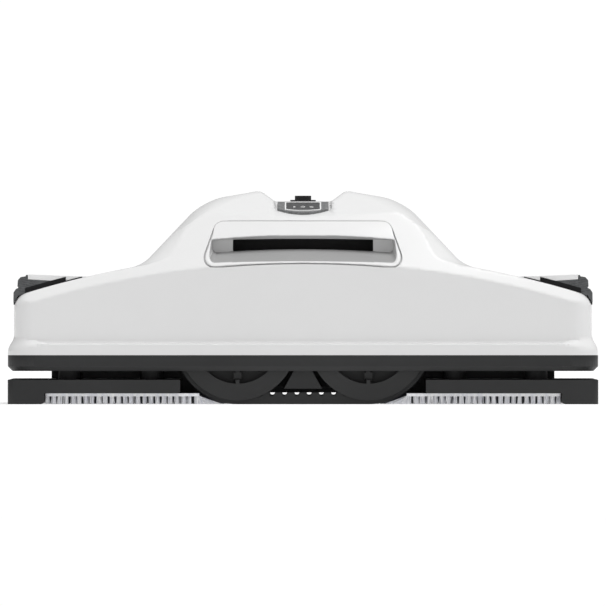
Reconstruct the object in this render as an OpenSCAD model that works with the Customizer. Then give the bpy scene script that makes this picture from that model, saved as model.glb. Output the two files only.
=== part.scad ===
// Tracked robotic pool cleaner: two crawler belts, a sprung scrubbing pad at each end, a white
// two-hump shell over twin pumps, and a hinged filter lid at each end.
// +X is forwards, +Y is the left side, +Z is up. The origin is on the floor under the middle.
// The front half is drawn and mirrored to make the rear one; the right side is mirrored to the left.

/* [Body] */
// Length over the skirt, along the travel
body_l = 436; // [432:1:442]
// Width over the skirt, across the tracks
body_w = 400; // [398:1:408]
// Height of the arched deck at its middle
deck_h = 112.5; // [111:0.5:114]
// Radius of the deck's arch, seen from the side
arch_r = 704; // [680:4:740]
// Height of the two humps
dome_h = 158; // [156:0.5:160]
// Thickness of the shell
shell_t = 3; // [2.5:0.25:3.5]

/* [Tracks] */
// Pitch of the belt's teeth
tooth_pitch = 9.2; // [9.1:0.05:9.25]
// Thickness of the belt from its pitch line out to the tread
tread_t = 5.8; // [5:0.2:6]
// Width of the belt
belt_w = 31; // [26:1:31]

/* [Scrubbing pads] */
// Height of the bristles and their base
brush_h = 8; // [7:0.5:8]
// Thickness of the pad plate
plate_t = 10; // [8:0.5:10]
// Travel of each pad, downwards
pad_travel = 4; // [2:0.5:4]

/* [Lids] */
// Height of the lids' flat top
lid_top = 95.9; // [95:0.1:96.5]

/* [Hidden] */
$fn = 64;

WHITE = [0.90, 0.91, 0.91];
CHARCOAL = [0.20, 0.205, 0.21];
BLACK = [0.06, 0.06, 0.065];
SMOKE = [0.13, 0.14, 0.15];
GREY = [0.72, 0.73, 0.73];
STEEL = [0.75, 0.76, 0.78];

// body
half_l = body_l / 2;
half_w = body_w / 2;
wall_in = 4.5;                        // the shell's walls stand this far inside the skirt
wall_x = half_l - wall_in;
wall_y = half_w - wall_in;
corner_r = 15;
skirt_z = 24.5;
skirt_top = 36.2;
flare_z = [41, 48];                   // foot of the shell, where it flares out over the skirt
arch_z = deck_h - arch_r;             // centre line of the arch
gap = 0.2;                            // between pieces that are fitted together
run_gap = 0.05;                       // radial clearance of a shaft in its bore

// dome: half of its outline from the side, and of its outline from the end
dome_foot_x = 124;
dome_plan_y = 187;
crease = [167, 136];                  // y and z of the edge above the handle
crest_y = 125;                        // where the humps' crest ends
channel_x = 20.5;                     // half width of the channel between the humps
channel_z = dome_h - 8;
ramp_foot = [-158, 140];              // y and z of the control ramp's lower edge
ramp_head = [-crest_y, channel_z];
ramp_tilt = atan2(ramp_head[1] - ramp_foot[1], ramp_head[0] - ramp_foot[0]);
ramp_l = norm(ramp_head - ramp_foot);
bezel_x = 18.9;                       // half width of the control panel's bezel
bezel_t = [0.5, 28.2];                // reach of the bezel and of the button up the ramp
bezel_r = 8;
button_x = 12.1;
button_t = [5.3, 23.7];
stem_t = 14.5;                        // place of the button's stem up the ramp
grip_y = 160;                         // inner face of the grip
handle_x = 73;                        // half width of the grip's outline at its foot
handle_lean = 8.6;                    // how far its sides lean in
handle_z = [101, crease[1] - 0.4];
mouth_x = 66.5;                       // half widths of the funnel and of the slot behind it
throat_x = 52;

// tracks
sprocket_teeth = 28;
belt_teeth = 49;
pitch_r = sprocket_teeth * tooth_pitch / (2 * PI);
track_r = pitch_r + tread_t;
axle_x = (belt_teeth - sprocket_teeth) * tooth_pitch / 4;
axle_z = track_r;
tooth_step = 360 / sprocket_teeth;
tooth_h = 2.8;
belt_y = [half_w - 10.5 - belt_w, half_w - 10.5];
hub_y = half_w - 11.5;                // outer face of the wheels' hubs
flange_r = track_r - 2.8;
frame_y = [152, 156];
rim_r = 31.5;
axle_r = 5;
shaft_r = 4;

// chassis
keel_x = 90.3;                        // half length of the deep middle of the tub
keel_y = 151.8;
keel_z = 8.5;
tray_x = 186;                         // half length over the shallow ends
tray_z = 19;
tub_t = 3;
deck_t = 4;

// pads
plate_x = 90.7;
brush_x = 76.5;                       // where the bristles end beside the belts
block_x = half_l - 27;                // inner face of the solid end block
plate_top = brush_h + plate_t;
post_at = [[112, 175], [172.3, 175]];
post_r = 3;
sleeve_r = 8.25;

// filter bays and lids
bay_x = 127;
bay_y = 179;
bay_t = 3;
wall_top = 75.5;                      // top of the end wall, under the lid's lip
ledge_z = 77;
hinge = [131.9, 91];                  // x and z of the lid's hinge
hinge_r = 2;
lid_y = bay_y - 0.4;
lid_z = lid_top - 15.5;
panel_t = 3.9;
bar_x = 203.8;
latch_half = 30;
latch_pivot = [209, 88.7];
basket_x = [131, 181];
basket_y = 140;
basket_z = 24;
flap_pivot = [134, 60.6];
flap_y = 41;

// pumps, box and socket
pump_x = 50;
duct_r = 23.5;
duct_z = [98, 141];
impeller_r = 20;
grille_r = 18;
grille_z = dome_h - 5.2;
grille_tilt = 12;
box_x = 92;
box_y = 46;
box_z = [64, 91];
swivel_r = 6.1;
socket_r = 9.6;
cable_r = 3.5;

module block(x, y, z) {
    translate([x[0], y[0], z[0]])
        cube([x[1] - x[0], y[1] - y[0], z[1] - z[0]]);
}

// a slab with round vertical corners, centred on the origin
module slab(hx, hy, r, z) {
    block([-hx + r, hx - r], [-hy, hy], z);
    block([-hx, hx], [-hy + r, hy - r], z);
    for (x = [-1, 1], y = [-1, 1])
        translate([x * (hx - r), y * (hy - r), z[0]])
            cylinder(r = r, h = z[1] - z[0]);
}

// an outline in x and z, drawn through the given span of y
module along_y(points, y) {
    translate([0, y[1], 0])
        rotate([90, 0, 0])
            linear_extrude(y[1] - y[0])
                polygon(points);
}

// an outline in y and z, drawn through the given span of x
module along_x(points, x) {
    translate([x[0], 0, 0])
        rotate([90, 0, 90])
            linear_extrude(x[1] - x[0])
                polygon(points);
}

module rod_y(x, z, r, y) {
    translate([x, y[1], z])
        rotate([90, 0, 0])
            cylinder(r = r, h = y[1] - y[0]);
}

module rear() { mirror([1, 0, 0]) children(); }
module left() { mirror([0, 1, 0]) children(); }
module both_ends() { children(); rear() children(); }
module both_sides() { children(); left() children(); }
module four_corners() { both_sides() both_ends() children(); }

function mirrored(half) = concat(
    half, [for (i = [len(half) - 1 : -1 : 0]) [-half[i][0], half[i][1]]]);

// points on a quadratic curve from a to c that bends towards b
function curve(a, b, c, n = 6) = [
    for (i = [0 : n]) let (t = i / n)
        (1 - t) * (1 - t) * a + 2 * t * (1 - t) * b + t * t * c];

// ---- shell ----

// half of the humps' outline, from the foot to the floor of the channel
hump_half = concat(
    [[dome_foot_x, 60], [dome_foot_x, 99]],
    curve([dome_foot_x, 102], [115, 105], [108, 113], 4),
    [[80, 144]],
    curve([78, 146], [71, dome_h - 5], [43, dome_h - 2], 6),
    [[31.5, dome_h], [channel_x + 1, channel_z + 1.5], [channel_x, channel_z]]);

flank_half = [
    [dome_plan_y, 60], [dome_plan_y, 100], [184, deck_h], crease, [crest_y, dome_h]];

module dome(inset = 0) {
    translate([0, 0, -1.15 * inset])
        intersection() {
            along_y(mirrored(hump_half), [-half_w, half_w]);
            along_x(mirrored(flank_half), [-half_l, half_l]);
            slab(dome_foot_x - inset, dome_plan_y - inset, 34, [60, dome_h + 5]);
        }
}

module deck(inset = 0) {
    intersection() {
        slab(wall_x - inset, wall_y - inset, corner_r - inset, [skirt_top - inset, deck_h]);
        rod_y(0, arch_z, arch_r - inset, [-half_w, half_w]);
    }
}

module outer_form() {
    deck();
    dome();
}

// the foot of the shell, which flares out to the skirt's outline
module flare() {
    slab(half_l, half_w, 20, [skirt_top, flare_z[0]]);
    hull() {
        slab(half_l, half_w, 20, [flare_z[0] - 0.5, flare_z[0]], $fn = 32);
        slab(wall_x, wall_y, corner_r, [flare_z[0], flare_z[1]], $fn = 32);
    }
}

// the wall round a filter bay, with the ledge that the basket hangs on
module bay_frame() {
    intersection() {
        deck();
        difference() {
            block([bay_x - bay_t, wall_x], [-bay_y - bay_t, bay_y + bay_t], [62, deck_h]);
            block([bay_x, wall_x - shell_t], [-bay_y, bay_y], [ledge_z, deck_h]);
            block([bay_x + 3.5, wall_x - 8.5], [-bay_y + 7, bay_y - 7], [61, deck_h]);
        }
    }
}

module screw_places() {
    for (x = [125, 204])
        four_corners() translate([x, wall_y - 7.5, 0]) children();
}

// the outline of the handle piece on the flank: its sides lean in, and its lower corners are round
module handle_outline(inset = 0) {
    x = handle_x - inset;
    z = [handle_z[0] + inset, handle_z[1] - inset];
    half = concat(curve([x - 12, z[0]], [x + 1.2, z[0]], [x, z[0] + 11]), [[x - handle_lean, z[1]]]);
    along_y(mirrored(half), [-half_w - 5, -grip_y - inset]);
}

module ramp_frame() {
    translate([0, ramp_foot[0], ramp_foot[1]])
        rotate([ramp_tilt, 0, 0])
            children();
}

module upper_shell() {
    color(WHITE)
        difference() {
            union() {
                difference() {
                    union() { outer_form(); flare(); }
                    deck(shell_t);
                    dome(shell_t);
                }
                both_ends() bay_frame();
                screw_places() translate([0, 0, skirt_top]) cylinder(r = 5, h = 34);
                // thicker floors under the socket and the control panel
                intersection() {
                    outer_form();
                    union() {
                        block([-14, 14], [-14, 14], [channel_z - 6, channel_z]);
                        ramp_frame() block([-24, 24], [-2, ramp_l + 6], [-6.5, 12]);
                    }
                }
            }
            both_ends() {
                block([bay_x, half_l], [-bay_y, bay_y], [ledge_z, deck_h]);
                block([wall_x - shell_t - 1, half_l], [-bay_y, bay_y], [wall_top, deck_h]);
                translate([pump_x, 0, grille_z])
                    rotate([0, grille_tilt, 0])
                        translate([0, 0, -12])
                            cylinder(r = grille_r + gap, h = 40);
                both_sides() rod_y(hinge[0], hinge[1], hinge_r, [-bay_y - 5, -bay_y + 1]);
            }
            screw_places() translate([0, 0, skirt_top - 1]) cylinder(r = 1.8, h = 15);
            translate([0, 0, channel_z - 7]) cylinder(r = 8.6, h = 20);
            handle_outline();
            ramp_frame() {
                block([-channel_x, channel_x], [-3, ramp_l + 0.5], [0, 22]);
                button_block(0.6, [-4, 1]);
                translate([0, stem_t, -12]) cylinder(r = 3.4, h = 12);
            }
        }
}

// ---- handle ----

module handle_grip() {
    color(GREY)
        difference() {
            intersection() {
                outer_form();
                handle_outline(gap);
            }
            hull() {
                block([-mouth_x, mouth_x], [-half_w, -wall_y + 0.5], [104.5, 122.5]);
                block([-throat_x, throat_x], [-183, -182], [112, 122.5]);
            }
            block([-throat_x, throat_x], [-184, -155], [112, 121.8]);
            block([-throat_x - 3, throat_x + 3], [-178, -155], [104, 113]);
            block([-throat_x - 3, throat_x + 3], [-165, -155], [112, 128]);
        }
}

// the closed box behind the grip, which keeps water in the body off the hand
module handle_pocket() {
    x = throat_x + 3;
    color(BLACK)
        difference() {
            block([-x - 2, x + 2], [-grip_y - gap, -136], [98.5, 133]);
            block([-x, x], [-grip_y - 1, -138], [100.5, 131]);
        }
}

// ---- skirt and tub ----

module skirt_band() {
    color(CHARCOAL)
        difference() {
            union() {
                slab(half_l, half_w, 20, [skirt_z + 3.5, skirt_top]);
                hull() {
                    slab(half_l, half_w, 20, [skirt_z + 3.4, skirt_z + 3.5], $fn = 32);
                    slab(half_l - 3.5, half_w - 3.5, 17, [skirt_z, skirt_z + 0.1], $fn = 32);
                }
            }
            slab(half_l - 6, half_w - 5.5, 14, [skirt_z - 1, skirt_top + 1]);
        }
}

module post_places() {
    for (p = post_at) both_sides() translate([p[0], -p[1], 0]) children();
}

module chassis_tub() {
    deck_x = half_l - 6 - gap;
    deck_y = half_w - 5.5 - gap;
    color(BLACK)
        difference() {
            union() {
                slab(deck_x, deck_y, 14, [skirt_top - deck_t, skirt_top]);
                block([-tray_x, tray_x], [-keel_y, keel_y], [tray_z, skirt_top]);
                block([-keel_x, keel_x], [-keel_y, keel_y], [keel_z, skirt_top]);
                both_ends() post_places()
                    translate([0, 0, plate_top + 0.4])
                        cylinder(r = sleeve_r, h = skirt_top - plate_top - 0.4);
            }
            block([-tray_x + tub_t, tray_x - tub_t], [-keel_y + tub_t, keel_y - tub_t],
                  [tray_z + tub_t, skirt_top + 1]);
            block([-keel_x + tub_t, keel_x - tub_t], [-keel_y + tub_t, keel_y - tub_t],
                  [keel_z + tub_t, skirt_top + 1]);
            both_sides() {
                block([-101, 101], [-half_w, -keel_y - gap], [0, skirt_top + 1]);
                rod_y(-axle_x, axle_z, 19.4, [-half_w, -keel_y + 10]);
                rod_y(axle_x, axle_z, 12.4, [-half_w, -keel_y + 10]);
            }
            both_ends() {
                block([16, 40], [-42, 42], [0, keel_z + tub_t + 1]);
                post_places() {
                    translate([0, 0, plate_top]) cylinder(r = 6.4, h = skirt_top - 3 - plate_top);
                    translate([0, 0, plate_top]) cylinder(r = post_r + run_gap, h = 30);
                }
            }
            screw_places() translate([0, 0, skirt_top - deck_t - 1]) cylinder(r = 2.2, h = 9);
        }
}

// ---- tracks, drawn for the right side ----

// an outline of a belt tooth or a groove, pointing up from the pitch line
function tooth(base, tip, h) = [[-base / 2, -0.3], [base / 2, -0.3], [tip / 2, h], [-tip / 2, h]];

// the teeth of a belt's two straight runs, as a shape in x and z. The runs round the wheels are
// left plain, because the wheels turn inside a loop that stands still
module belt_teeth_2d() {
    for (k = [-3 : 3])
        translate([k * tooth_pitch, tread_t]) polygon(tooth(5, 3.4, tooth_h));
    for (k = [-2.5 : 2.5])
        translate([k * tooth_pitch, axle_z + pitch_r])
            rotate(180) polygon(tooth(5, 3.4, tooth_h));
}

module loop_2d(r) {
    for (s = [-1, 1]) translate([s * axle_x, axle_z]) circle(r, $fn = 128);
    translate([-axle_x, axle_z - r]) square([2 * axle_x, 2 * r]);
}

module track_belt() {
    color(CHARCOAL)
        translate([0, -belt_y[0], 0])
            rotate([90, 0, 0])
                linear_extrude(belt_w) {
                    difference() { loop_2d(track_r); loop_2d(pitch_r); }
                    belt_teeth_2d();
                }
}

// a toothed wheel with a flange outside the belt; its bore has the radius given, and end is 1 at
// the front axle and -1 at the rear
module sprocket(bore, end) {
    first = ceil(axle_x / tooth_pitch) - axle_x / tooth_pitch;
    width = belt_w + 0.5;
    hub_l = hub_y - belt_y[0] - 0.5;
    color(CHARCOAL)
        translate([end * axle_x, -belt_y[0] - 0.5, axle_z])
            rotate([90, 0, 0])
                difference() {
                    union() {
                        linear_extrude(width)
                            difference() {
                                circle(pitch_r - 0.3, $fn = 128);
                                for (j = [0 : sprocket_teeth - 1])
                                    rotate(end * (first + j) * tooth_step)
                                        translate([0, -pitch_r]) polygon(tooth(5.6, 4.2, 3.2));
                            }
                        translate([0, 0, width - 0.1]) cylinder(r = flange_r, h = 1.8, $fn = 128);
                    }
                    for (z = [[-1, 8], [width - 9, width + 3]])
                        translate([0, 0, z[0]])
                            difference() {
                                cylinder(r = rim_r, h = z[1] - z[0]);
                                cylinder(r = 11, h = z[1] - z[0]);
                                for (a = [30 : 60 : 330])
                                    rotate(a) {
                                        translate([0, -1.5, 0]) cube([rim_r + 2, 3, 30]);
                                        translate([23.2, -3, 0]) cube([5.6, 6, 30]);
                                    }
                            }
                    translate([0, 0, hub_l]) cylinder(r = rim_r - 3, h = 10);
                    translate([0, 0, -1]) cylinder(r = bore, h = width + 4);
                    for (a = [0 : 60 : 300])
                        rotate(a) translate([17.5, 0, -1]) cylinder(r = 4.5, h = width + 4);
                }
}

module drive_shaft() {
    color(STEEL) {
        rod_y(-axle_x, axle_z, shaft_r, [-hub_y, -139]);
        rod_y(-axle_x, axle_z, 7, [-hub_y - 1.6, -hub_y]);
    }
}

// the plate that carries a track's wheels; its feet hide the belt's run up to each wheel
module track_frame() {
    half = [[27, 12.5], [28.5, 5.5], [46, 5.5], [70, 12.5], [88, 16], [100, 50], [88, 86],
            [70, 95.5]];
    color(BLACK)
        difference() {
            along_y(mirrored(half), [-frame_y[1], -frame_y[0]]);
            rod_y(-axle_x, axle_z, 8, [-160, -150]);
            rod_y(axle_x, axle_z, axle_r, [-160, -150]);
        }
}

// an hourglass block between the wheels, which holds both runs of the belt out straight
module belt_guide() {
    foot_z = axle_z - 35.4;
    waist_z = axle_z - 23;
    half = [[14.2, foot_z], [7.4, waist_z], [5.5, axle_z - 12],
            [5.5, axle_z + 12], [7.4, 2 * axle_z - waist_z], [14.2, 2 * axle_z - foot_z]];
    color(CHARCOAL) along_y(mirrored(half), [-belt_y[1], -frame_y[1]]);
}

module idler_axle() {
    color(STEEL) {
        rod_y(axle_x, axle_z, 12, [-frame_y[0], -frame_y[0] + 3]);
        rod_y(axle_x, axle_z, axle_r, [-hub_y - 0.3, -frame_y[0]]);
    }
}

module idler_clip() {
    color(STEEL) rod_y(axle_x, axle_z, 8.5, [-hub_y - 1.9, -hub_y - 0.3]);
}

module shaft_bush() {
    color(GREY)
        difference() {
            union() {
                rod_y(-axle_x, axle_z, 8, [-frame_y[1], -frame_y[0]]);
                rod_y(-axle_x, axle_z, 10, [-frame_y[1] - 2, -frame_y[1]]);
            }
            rod_y(-axle_x, axle_z, shaft_r + run_gap, [-170, -140]);
        }
}

module gearbox() {
    color(STEEL)
        difference() {
            rod_y(-axle_x, axle_z, 19, [-frame_y[0], -124]);
            rod_y(-axle_x, axle_z, shaft_r + run_gap, [-170, -138]);
        }
}

module drive_motor() {
    color(GREY) {
        rod_y(-axle_x, axle_z, 17, [-124, -74]);
        rod_y(-axle_x, axle_z, 6, [-74, -70]);
    }
}

// ---- scrubbing pads, drawn for the front end ----

module pad_plate() {
    edge = 4;
    color(CHARCOAL) {
        block([plate_x, half_l - edge], [-half_w + 2, half_w - 2], [brush_h, plate_top]);
        block([half_l - edge, half_l], [-half_w + 2 + edge, half_w - 2 - edge], [0, plate_top]);
        block([block_x + 3, half_l - edge], [-half_w + 2, half_w - 2], [0, brush_h]);
        block([block_x, half_l - edge], [-half_w + 2, half_w - 2], [3, brush_h]);
        rod_y(block_x + 3, 3, 3, [-half_w + 2, half_w - 2]);
        both_sides()
            translate([half_l - edge, half_w - 2 - edge, 0]) cylinder(r = edge, h = plate_top);
        post_places()
            translate([0, 0, plate_top - 0.5])
                cylinder(r = post_r, h = skirt_top + 1 + pad_travel + 3 - plate_top);
    }
}

module brush_field() {
    color([0.86, 0.87, 0.93]) {
        block([brush_x, block_x - 0.5], [-half_w + 5, half_w - 5], [0, brush_h]);
        block([45, brush_x], [-150, 150], [0, brush_h]);
    }
}

// convoluted rubber springs round the posts
module pad_bellows() {
    foot = plate_top;
    pleat = (skirt_top - 3 - foot - 0.2) / 4;
    color(BLACK)
        post_places()
            translate([0, 0, foot])
                rotate_extrude()
                    polygon(concat(
                        [for (i = [0 : 8]) [i % 2 == 0 ? 4.4 : 5.8, i * pleat / 2]],
                        [for (i = [8 : -1 : 0]) [i % 2 == 0 ? 3.4 : 4.8, i * pleat / 2]]));
}

module pad_clips() {
    color(STEEL)
        post_places()
            translate([0, 0, skirt_top + pad_travel + 0.4])
                difference() {
                    cylinder(r = 5, h = 1.6);
                    translate([0, 0, -1]) cylinder(r = post_r, h = 4);
                }
}

// ---- filter and lids, drawn for the front end ----

module intake_duct() {
    color(BLACK)
        difference() {
            union() {
                block([12, basket_x[0] - gap], [-49, 49], [24, 60]);
                block([12, 44], [-49, 49], [keel_z + tub_t, 24]);
            }
            block([14, basket_x[0] + 1], [-47, 47], [26, 58]);
            block([14, 42], [-47, 47], [keel_z, 27]);
        }
}

// windows in the basket's walls, as rows of openings
module basket_windows() {
    sill = basket_z + 2.5;
    for (y = [-120 : 30 : 120]) {
        block([0, 300], [y - 12, y + 12], [67, 73]);
        block([150, 300], [y - 12, y + 12], [sill, 60]);
    }
    for (x = [138 : 14 : 170])
        block([x, x + 9], [-200, 200], [sill, 73]);
}

module filter_basket() {
    t = 2;
    color([0.30, 0.55, 0.70])
        difference() {
            union() {
                block(basket_x, [-basket_y, basket_y], [basket_z, ledge_z]);
                block([bay_x + gap, wall_x - shell_t - 2], [-bay_y + gap, bay_y - gap],
                      [ledge_z, ledge_z + t]);
            }
            block([basket_x[0] + t, basket_x[1] - t], [-basket_y + t, basket_y - t],
                  [basket_z + t, ledge_z + t + 1]);
            basket_windows();
            block([basket_x[0] - 1, basket_x[0] + t + 1], [-38, 38], [basket_z + 2.5, 58]);
            block([basket_x[0] - 1, basket_x[0] + t + 1], [-flap_y - 1, flap_y + 1], [57, 64]);
            block([186, 202], [-150, 150], [ledge_z - 1, ledge_z + t + 1]);
        }
    // the ears that hold the flap's pin
    color([0.30, 0.55, 0.70])
        both_sides()
            difference() {
                block([basket_x[0] + 0.5, flap_pivot[0] + 3], [-48, -45], [56, 64]);
                rod_y(flap_pivot[0], flap_pivot[1], 1, [-60, -40]);
            }
}

module filter_screen() {
    t = 2;
    color([0.80, 0.84, 0.86])
        difference() {
            block([142, basket_x[1] - t], [-basket_y + t, basket_y - t],
                  [basket_z + t, ledge_z - 1]);
            block([141, basket_x[1] - t - 0.8],
                  [-basket_y + t + 0.8, basket_y - t - 0.8], [20, ledge_z]);
        }
}

module flap_pin() {
    color(STEEL) rod_y(flap_pivot[0], flap_pivot[1], 1, [-48, 48]);
}

module inlet_flap() {
    color(GREY)
        difference() {
            union() {
                block([flap_pivot[0] - 0.7, flap_pivot[0] + 0.7], [-flap_y, flap_y],
                      [28, flap_pivot[1]]);
                rod_y(flap_pivot[0], flap_pivot[1], 2.2, [-flap_y, flap_y]);
            }
            rod_y(flap_pivot[0], flap_pivot[1], 1 + run_gap, [-50, 50]);
        }
}

module lid_gasket() {
    color(BLACK)
        difference() {
            block([bay_x + 0.4, wall_x - shell_t - 2], [-bay_y + 0.4, bay_y - 0.4],
                  [ledge_z + 2, ledge_z + 3.2]);
            block([bay_x + 5, wall_x - shell_t - 6], [-bay_y + 6, bay_y - 6],
                  [ledge_z, ledge_z + 5]);
        }
}

module lid_hinge_pin() {
    color(STEEL) {
        rod_y(hinge[0], hinge[1], hinge_r, [-bay_y - bay_t, -170]);
        rod_y(hinge[0], hinge[1], 3.6, [-bay_y - bay_t - 1.5, -bay_y - bay_t]);
    }
}

module lid_frame() {
    bar = [[bar_x, lid_z], [bar_x, lid_top - 0.4], [208, lid_top - 0.4], [210.6, lid_top - 3],
           [210.9, 86], [214.2, 83.6], [214.2, 79], [213.2, wall_top + 2],
           [210.5, wall_top + 2], [210.5, lid_z]];
    color(SMOKE)
        difference() {
            union() {
                along_y(bar, [-lid_y, lid_y]);
                block([hinge[0], bar_x], [-lid_y, lid_y], [88, lid_top - panel_t]);
                both_sides() block([136, bar_x], [-lid_y, -lid_y + 6], [lid_z, 89]);
                block([136, 139], [-lid_y, lid_y], [lid_z, 89]);
                rod_y(hinge[0], hinge[1], 4.4, [-lid_y, lid_y]);
                block([bar_x - 4, bar_x], [-lid_y, lid_y], [lid_z, 89]);
            }
            both_sides() rod_y(hinge[0], hinge[1], hinge_r + run_gap, [-lid_y - 1, -168]);
            block([206, 220], [-latch_half - 0.5, latch_half + 0.5], [60, 94]);
        }
    // the moulded pin that the latch snaps on
    color(SMOKE) rod_y(latch_pivot[0], latch_pivot[1], 1.25, [-latch_half - 1, latch_half + 1]);
}

module lid_panel() {
    x = [137.5, bar_x - gap];
    color(WHITE) block(x, [-lid_y, lid_y], [lid_top - panel_t, lid_top]);
}

module lid_latch() {
    color(SMOKE)
        difference() {
            along_y([[207.4, 87], [207.4, 90.2], [208.4, 91.6], [210.2, 91.4], [210.9, 86],
                     [214.2, 83.6], [214.2, 79.3], [213.2, 77.8], [211.6, 77.8], [210.9, 83.5]],
                    [-latch_half, latch_half]);
            rod_y(latch_pivot[0], latch_pivot[1], 1.25 + run_gap, [-40, 40]);
        }
}

// ---- pumps, drawn for the front one ----

module pump_motor() {
    color(STEEL)
        translate([pump_x, 0, 0])
            difference() {
                union() {
                    translate([0, 0, 101]) cylinder(r = 15, h = 26);
                    translate([0, 0, box_z[1] + 3.5]) cylinder(r = 6, h = 8);
                }
                translate([0, 0, 118]) cylinder(r = 2 + run_gap, h = 10);
            }
}

module pump_duct() {
    color(BLACK)
        translate([pump_x, 0, 0]) {
            difference() {
                translate([0, 0, duct_z[0]]) cylinder(r = duct_r, h = duct_z[1] - duct_z[0]);
                translate([0, 0, 90]) cylinder(r = duct_r - 2, h = 60);
            }
            for (a = [0 : 120 : 240])
                rotate(a)
                    difference() {
                        block([14, duct_r - 1], [-1.2, 1.2], [104, 122]);
                        translate([0, 0, 90]) cylinder(r = 15, h = 40);
                    }
        }
}

module impeller() {
    color([0.85, 0.35, 0.15])
        translate([pump_x, 0, 0]) {
            translate([0, 0, 129]) cylinder(r = 7, h = 9);
            translate([0, 0, 138]) cylinder(r1 = 7, r2 = 3, h = 3);
            translate([0, 0, 119]) cylinder(r = 2, h = 11);
            intersection() {
                translate([0, 0, 128.5]) cylinder(r = impeller_r, h = 11);
                for (a = [0 : 72 : 288])
                    rotate(a)
                        translate([12, 0, 133.7])
                            rotate([38, 0, 0])
                                cube([18, 13, 1.8], center = true);
            }
        }
}

module outlet_grille() {
    color(CHARCOAL)
        translate([pump_x, 0, grille_z])
            rotate([0, grille_tilt, 0])
                difference() {
                    translate([0, 0, -3]) cylinder(r = grille_r, h = 4);
                    for (y = [-14 : 4 : 14])
                        intersection() {
                            block([-19, 19], [y - 1.3, y + 1.3], [-4, 3]);
                            difference() {
                                translate([0, 0, -5]) cylinder(r = grille_r - 2.5, h = 9);
                                block([-1, 1], [-20, 20], [-6, 5]);
                            }
                        }
                }
}

// ---- power box ----

module power_box() {
    color(GREY)
        difference() {
            union() {
                block([-box_x, box_x], [-box_y, box_y], box_z);
                both_ends() block([60, 80], [-40, 40], [60, box_z[0] + 1]);
            }
            block([-box_x + 3, box_x - 3], [-box_y + 3, box_y - 3], [box_z[0] + 3, box_z[1] + 1]);
        }
}

module box_seal() {
    color(BLACK)
        difference() {
            block([-box_x, box_x], [-box_y, box_y], [box_z[1], box_z[1] + 1]);
            block([-box_x + 2, box_x - 2], [-box_y + 2, box_y - 2], [box_z[1] - 1, box_z[1] + 2]);
        }
}

module power_box_cover() {
    color(GREY) block([-box_x, box_x], [-box_y, box_y], [box_z[1] + 1, box_z[1] + 3.5]);
}

// six cells in two rows, each row with an end plate
module battery_pack() {
    color([0.20, 0.35, 0.65])
        both_ends() {
            for (y = [-19 : 19 : 19])
                translate([5, y, box_z[0] + 12.4]) rotate([0, 90, 0]) cylinder(r = 9.2, h = 65);
            block([70, 72], [-28, 28], [box_z[0] + 3.2, box_z[0] + 21.6]);
        }
}

module control_board() {
    z = box_z[0] + 21.6;
    color([0.10, 0.40, 0.25]) block([-80, 80], [-40, 40], [z, z + 1.6]);
    color(BLACK)
        for (x = [-60, -15, 30])
            block([x, x + 16], [-10, 10], [z + 1.6, z + 3]);
}

// ---- control panel, socket, floats and screws ----

// a block on the ramp, larger than the button by a margin
module button_block(margin, z) {
    block([-button_x - margin, button_x + margin],
          [button_t[0] - margin, button_t[1] + margin], z);
}

module panel_bezel() {
    color(CHARCOAL)
        ramp_frame()
            difference() {
                union() {
                    block([-bezel_x, bezel_x], [bezel_t[0] + bezel_r, bezel_t[1]], [0, 1.6]);
                    block([-bezel_x + bezel_r, bezel_x - bezel_r], bezel_t, [0, 1.6]);
                    both_ends()
                        translate([bezel_x - bezel_r, bezel_t[0] + bezel_r, 0])
                            cylinder(r = bezel_r, h = 1.6);
                }
                button_block(1.6, [-1, 3]);
            }
}

module panel_trim() {
    color(WHITE)
        ramp_frame()
            difference() {
                button_block(1.4, [0, 2.2]);
                button_block(0.3, [-1, 4]);
            }
}

module power_button() {
    color(CHARCOAL)
        ramp_frame() {
            button_block(0, [-2, 2.4]);
            translate([0, stem_t, -6]) cylinder(r = 3, h = 4.5);
        }
}

module socket_base() {
    color(BLACK)
        translate([0, 0, channel_z])
            difference() {
                union() {
                    cylinder(r = socket_r, h = 1.6);
                    translate([0, 0, -6]) cylinder(r = 8.4, h = 6.5);
                }
                translate([0, 0, -7]) cylinder(r = swivel_r + run_gap, h = 10);
            }
}

module cable_swivel() {
    color(BLACK)
        translate([0, 0, channel_z])
            difference() {
                union() {
                    translate([0, 0, -7]) cylinder(r = swivel_r, h = 11.7);
                    translate([0, 0, -9]) cylinder(r = 8, h = 2.5);
                }
                translate([0, 0, -7]) cylinder(r = cable_r, h = 13);
            }
}

module foam_floats() {
    color([0.92, 0.93, 0.90])
        four_corners()
            intersection() {
                block([30, 78], [-112, -60], [112, dome_h]);
                dome(shell_t);
            }
}

module shell_screws() {
    color(STEEL)
        screw_places() {
            translate([0, 0, skirt_top - deck_t - 2.5]) cylinder(r = 4, h = 2.5);
            translate([0, 0, skirt_top - deck_t]) cylinder(r = 1.8, h = 16);
        }
}

upper_shell();
handle_grip();
handle_pocket();
skirt_band();
chassis_tub();
both_sides() track_frame();  // track_frames
both_sides() belt_guide();  // belt_guides
track_belt();  // track_belt_right
left() track_belt();  // track_belt_left
both_sides() idler_axle();  // idler_axles
both_sides() idler_clip();  // idler_clips
both_sides() shaft_bush();  // shaft_bushes
both_sides() drive_motor();  // drive_motors
both_sides() gearbox();  // gearboxes
both_ends() intake_duct();  // intake_ducts
filter_basket();  // filter_basket_front
rear() filter_basket();  // filter_basket_rear
both_ends() filter_screen();  // filter_screens
both_ends() lid_gasket();  // lid_gaskets
four_corners() lid_hinge_pin();  // lid_hinge_pins
both_ends() flap_pin();  // flap_pins
power_box();
power_box_cover();
box_seal();
battery_pack();
control_board();
both_ends() pump_motor();  // pump_motors
both_ends() pump_duct();  // pump_ducts
both_ends() outlet_grille();  // outlet_grilles
panel_bezel();
panel_trim();
socket_base();
foam_floats();
shell_screws();
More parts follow.
